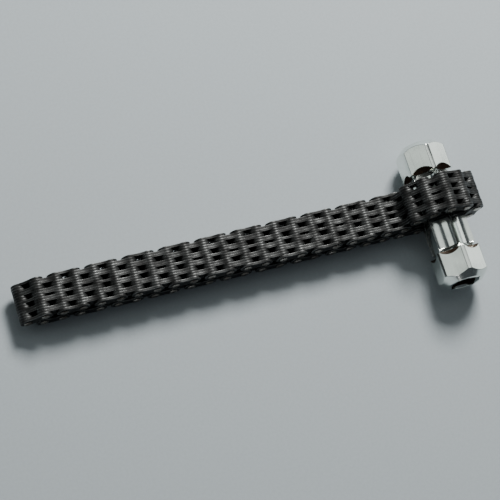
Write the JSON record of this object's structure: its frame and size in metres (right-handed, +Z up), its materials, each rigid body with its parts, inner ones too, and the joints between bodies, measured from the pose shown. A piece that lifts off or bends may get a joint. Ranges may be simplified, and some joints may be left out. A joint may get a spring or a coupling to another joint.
{
  "type": "oil filter wrench",
  "caption": "Chain oil filter wrench: a black leaf chain doubled flat and hooked over a chromed hexagonal driver with flutes and square drive recesses.",
  "frame": {"origin": "on the table under the middle of the tool's box", "axes": "+X along the chain towards the driver, +Y across the chain along the driver's axis, +Z up"},
  "size_m": [0.2448, 0.077, 0.0334],
  "materials": {
    "chrome_steel": "bright chrome plate over a turned and milled surface",
    "pin_steel": "hardened plain pin",
    "black_chain": "black oxide, lightly oiled, worn bright on the edges"
  },
  "bodies": {
    "driver": {"driver_body": "chrome_steel", "anchor_pin": "pin_steel"},
    "link_01": {"inner_link_01": "black_chain"},
    "link_02": {"outer_link_02": "black_chain"},
    "link_03": {"inner_link_03": "black_chain"},
    "link_04": {"outer_link_04": "black_chain"},
    "link_05": {"inner_link_05": "black_chain"},
    "link_06": {"outer_link_06": "black_chain"},
    "link_07": {"inner_link_07": "black_chain"},
    "link_08": {"outer_link_08": "black_chain"},
    "link_09": {"inner_link_09": "black_chain"},
    "link_10": {"outer_link_10": "black_chain"},
    "link_11": {"inner_link_11": "black_chain"},
    "link_12": {"outer_link_12": "black_chain"},
    "link_13": {"inner_link_13": "black_chain"},
    "link_14": {"outer_link_14": "black_chain"},
    "link_15": {"inner_link_15": "black_chain"},
    "link_16": {"outer_link_16": "black_chain"},
    "link_17": {"inner_link_17": "black_chain"},
    "link_18": {"outer_link_18": "black_chain"},
    "link_19": {"inner_link_19": "black_chain"},
    "link_20": {"outer_link_20": "black_chain"},
    "link_21": {"inner_link_21": "black_chain"},
    "link_22": {"outer_link_22": "black_chain"},
    "link_23": {"inner_link_23": "black_chain"},
    "link_24": {"outer_link_24": "black_chain"},
    "link_25": {"inner_link_25": "black_chain"},
    "link_26": {"outer_link_26": "black_chain"},
    "link_27": {"inner_link_27": "black_chain"},
    "link_28": {"outer_link_28": "black_chain"},
    "link_29": {"inner_link_29": "black_chain"},
    "link_30": {"outer_link_30": "black_chain"},
    "link_31": {"inner_link_31": "black_chain"},
    "link_32": {"outer_link_32": "black_chain"},
    "link_33": {"inner_link_33": "black_chain"},
    "link_34": {"outer_link_34": "black_chain"},
    "link_35": {"inner_link_35": "black_chain"},
    "link_36": {"outer_link_36": "black_chain"},
    "link_37": {"inner_link_37": "black_chain"},
    "link_38": {"outer_link_38": "black_chain"},
    "link_39": {"inner_link_39": "black_chain"},
    "link_40": {"outer_link_40": "black_chain"},
    "link_41": {"inner_link_41": "black_chain"},
    "link_42": {"outer_link_42": "black_chain"},
    "link_43": {"inner_link_43": "black_chain"},
    "link_44": {"outer_link_44": "black_chain"},
    "link_45": {"inner_link_45": "black_chain"},
    "link_46": {"outer_link_46": "black_chain"},
    "link_47": {"inner_link_47": "black_chain"},
    "link_48": {"outer_link_48": "black_chain"},
    "link_49": {"inner_link_49": "black_chain"},
    "link_50": {"outer_link_50": "black_chain"}
  },
  "joints": [
    {"name": "pivot_01", "type": "hinge", "parent": "driver", "child": "link_01", "pos_m": [0.09943, 0.0065, 0.00451], "axis": [0, -1, 0], "range_deg": [0, 3]},
    {"name": "pivot_02", "type": "hinge", "parent": "link_01", "child": "link_02", "pos_m": [0.08992, 0.0065, 0.00387], "axis": [0, -1, 0], "range_deg": [0, 3]},
    {"name": "pivot_03", "type": "hinge", "parent": "link_02", "child": "link_03", "pos_m": [0.0804, 0.0065, 0.00387], "axis": [0, -1, 0], "range_deg": [0, 3]},
    {"name": "pivot_04", "type": "hinge", "parent": "link_03", "child": "link_04", "pos_m": [0.07087, 0.0065, 0.00387], "axis": [0, -1, 0], "range_deg": [0, 3]},
    {"name": "pivot_05", "type": "hinge", "parent": "link_04", "child": "link_05", "pos_m": [0.06135, 0.0065, 0.00387], "axis": [0, -1, 0], "range_deg": [0, 3]},
    {"name": "pivot_06", "type": "hinge", "parent": "link_05", "child": "link_06", "pos_m": [0.05182, 0.0065, 0.00387], "axis": [0, -1, 0], "range_deg": [0, 3]},
    {"name": "pivot_07", "type": "hinge", "parent": "link_06", "child": "link_07", "pos_m": [0.0423, 0.0065, 0.00387], "axis": [0, -1, 0], "range_deg": [0, 3]},
    {"name": "pivot_08", "type": "hinge", "parent": "link_07", "child": "link_08", "pos_m": [0.03277, 0.0065, 0.00387], "axis": [0, -1, 0], "range_deg": [0, 3]},
    {"name": "pivot_09", "type": "hinge", "parent": "link_08", "child": "link_09", "pos_m": [0.02325, 0.0065, 0.00387], "axis": [0, -1, 0], "range_deg": [0, 3]},
    {"name": "pivot_10", "type": "hinge", "parent": "link_09", "child": "link_10", "pos_m": [0.01372, 0.0065, 0.00387], "axis": [0, -1, 0], "range_deg": [0, 3]},
    {"name": "pivot_11", "type": "hinge", "parent": "link_10", "child": "link_11", "pos_m": [0.0042, 0.0065, 0.00387], "axis": [0, -1, 0], "range_deg": [0, 3]},
    {"name": "pivot_12", "type": "hinge", "parent": "link_11", "child": "link_12", "pos_m": [-0.00533, 0.0065, 0.00387], "axis": [0, -1, 0], "range_deg": [0, 3]},
    {"name": "pivot_13", "type": "hinge", "parent": "link_12", "child": "link_13", "pos_m": [-0.01485, 0.0065, 0.00387], "axis": [0, -1, 0], "range_deg": [0, 3]},
    {"name": "pivot_14", "type": "hinge", "parent": "link_13", "child": "link_14", "pos_m": [-0.02438, 0.0065, 0.00387], "axis": [0, -1, 0], "range_deg": [0, 3]},
    {"name": "pivot_15", "type": "hinge", "parent": "link_14", "child": "link_15", "pos_m": [-0.0339, 0.0065, 0.00387], "axis": [0, -1, 0], "range_deg": [0, 3]},
    {"name": "pivot_16", "type": "hinge", "parent": "link_15", "child": "link_16", "pos_m": [-0.04343, 0.0065, 0.00387], "axis": [0, -1, 0], "range_deg": [0, 3]},
    {"name": "pivot_17", "type": "hinge", "parent": "link_16", "child": "link_17", "pos_m": [-0.05295, 0.0065, 0.00387], "axis": [0, -1, 0], "range_deg": [0, 3]},
    {"name": "pivot_18", "type": "hinge", "parent": "link_17", "child": "link_18", "pos_m": [-0.06248, 0.0065, 0.00387], "axis": [0, -1, 0], "range_deg": [0, 3]},
    {"name": "pivot_19", "type": "hinge", "parent": "link_18", "child": "link_19", "pos_m": [-0.072, 0.0065, 0.00387], "axis": [0, -1, 0], "range_deg": [0, 3]},
    {"name": "pivot_20", "type": "hinge", "parent": "link_19", "child": "link_20", "pos_m": [-0.08153, 0.0065, 0.00387], "axis": [0, -1, 0], "range_deg": [0, 3]},
    {"name": "pivot_21", "type": "hinge", "parent": "link_20", "child": "link_21", "pos_m": [-0.09105, 0.0065, 0.00387], "axis": [0, -1, 0], "range_deg": [0, 3]},
    {"name": "pivot_22", "type": "hinge", "parent": "link_21", "child": "link_22", "pos_m": [-0.10058, 0.0065, 0.00387], "axis": [0, -1, 0], "range_deg": [0, 3]},
    {"name": "pivot_23", "type": "hinge", "parent": "link_22", "child": "link_23", "pos_m": [-0.1101, 0.0065, 0.00387], "axis": [0, -1, 0], "range_deg": [0, 3]},
    {"name": "pivot_24", "type": "hinge", "parent": "link_23", "child": "link_24", "pos_m": [-0.11854, 0.0065, 0.0083], "axis": [0, -1, 0], "range_deg": [0, 90]},
    {"name": "pivot_25", "type": "hinge", "parent": "link_24", "child": "link_25", "pos_m": [-0.1101, 0.0065, 0.01273], "axis": [0, -1, 0], "range_deg": [0, 8]},
    {"name": "pivot_26", "type": "hinge", "parent": "link_25", "child": "link_26", "pos_m": [-0.10058, 0.0065, 0.01273], "axis": [0, -1, 0], "range_deg": [0, 8]},
    {"name": "pivot_27", "type": "hinge", "parent": "link_26", "child": "link_27", "pos_m": [-0.09105, 0.0065, 0.01273], "axis": [0, -1, 0], "range_deg": [0, 8]},
    {"name": "pivot_28", "type": "hinge", "parent": "link_27", "child": "link_28", "pos_m": [-0.08153, 0.0065, 0.01273], "axis": [0, -1, 0], "range_deg": [0, 8]},
    {"name": "pivot_29", "type": "hinge", "parent": "link_28", "child": "link_29", "pos_m": [-0.072, 0.0065, 0.01273], "axis": [0, -1, 0], "range_deg": [0, 8]},
    {"name": "pivot_30", "type": "hinge", "parent": "link_29", "child": "link_30", "pos_m": [-0.06248, 0.0065, 0.01273], "axis": [0, -1, 0], "range_deg": [0, 8]},
    {"name": "pivot_31", "type": "hinge", "parent": "link_30", "child": "link_31", "pos_m": [-0.05295, 0.0065, 0.01273], "axis": [0, -1, 0], "range_deg": [0, 8]},
    {"name": "pivot_32", "type": "hinge", "parent": "link_31", "child": "link_32", "pos_m": [-0.04343, 0.0065, 0.01273], "axis": [0, -1, 0], "range_deg": [0, 8]},
    {"name": "pivot_33", "type": "hinge", "parent": "link_32", "child": "link_33", "pos_m": [-0.0339, 0.0065, 0.01273], "axis": [0, -1, 0], "range_deg": [0, 8]},
    {"name": "pivot_34", "type": "hinge", "parent": "link_33", "child": "link_34", "pos_m": [-0.02438, 0.0065, 0.01273], "axis": [0, -1, 0], "range_deg": [0, 8]},
    {"name": "pivot_35", "type": "hinge", "parent": "link_34", "child": "link_35", "pos_m": [-0.01485, 0.0065, 0.01273], "axis": [0, -1, 0], "range_deg": [0, 8]},
    {"name": "pivot_36", "type": "hinge", "parent": "link_35", "child": "link_36", "pos_m": [-0.00533, 0.0065, 0.01273], "axis": [0, -1, 0], "range_deg": [0, 8]},
    {"name": "pivot_37", "type": "hinge", "parent": "link_36", "child": "link_37", "pos_m": [0.0042, 0.0065, 0.01273], "axis": [0, -1, 0], "range_deg": [0, 8]},
    {"name": "pivot_38", "type": "hinge", "parent": "link_37", "child": "link_38", "pos_m": [0.01372, 0.0065, 0.01273], "axis": [0, -1, 0], "range_deg": [0, 8]},
    {"name": "pivot_39", "type": "hinge", "parent": "link_38", "child": "link_39", "pos_m": [0.02325, 0.0065, 0.01273], "axis": [0, -1, 0], "range_deg": [0, 8]},
    {"name": "pivot_40", "type": "hinge", "parent": "link_39", "child": "link_40", "pos_m": [0.03277, 0.0065, 0.01273], "axis": [0, -1, 0], "range_deg": [0, 8]},
    {"name": "pivot_41", "type": "hinge", "parent": "link_40", "child": "link_41", "pos_m": [0.0423, 0.0065, 0.01273], "axis": [0, -1, 0], "range_deg": [0, 8]},
    {"name": "pivot_42", "type": "hinge", "parent": "link_41", "child": "link_42", "pos_m": [0.05182, 0.0065, 0.01273], "axis": [0, -1, 0], "range_deg": [0, 8]},
    {"name": "pivot_43", "type": "hinge", "parent": "link_42", "child": "link_43", "pos_m": [0.06135, 0.0065, 0.01273], "axis": [0, -1, 0], "range_deg": [0, 8]},
    {"name": "pivot_44", "type": "hinge", "parent": "link_43", "child": "link_44", "pos_m": [0.07087, 0.0065, 0.01273], "axis": [0, -1, 0], "range_deg": [0, 8]},
    {"name": "pivot_45", "type": "hinge", "parent": "link_44", "child": "link_45", "pos_m": [0.0804, 0.0065, 0.01273], "axis": [0, -1, 0], "range_deg": [0, 8]},
    {"name": "pivot_46", "type": "hinge", "parent": "link_45", "child": "link_46", "pos_m": [0.08516, 0.0065, 0.02097], "axis": [0, -1, 0], "range_deg": [0, 12]},
    {"name": "pivot_47", "type": "hinge", "parent": "link_46", "child": "link_47", "pos_m": [0.09296, 0.0065, 0.02644], "axis": [0, -1, 0], "range_deg": [0, 12]},
    {"name": "pivot_48", "type": "hinge", "parent": "link_47", "child": "link_48", "pos_m": [0.10197, 0.0065, 0.02954], "axis": [0, -1, 0], "range_deg": [0, 20]},
    {"name": "pivot_49", "type": "hinge", "parent": "link_48", "child": "link_49", "pos_m": [0.11103, 0.0065, 0.02659], "axis": [0, -1, 0], "range_deg": [0, 25]},
    {"name": "pivot_50", "type": "hinge", "parent": "link_49", "child": "link_50", "pos_m": [0.11854, 0.0065, 0.02073], "axis": [0, -1, 0], "range_deg": [0, 50]}
  ]
}
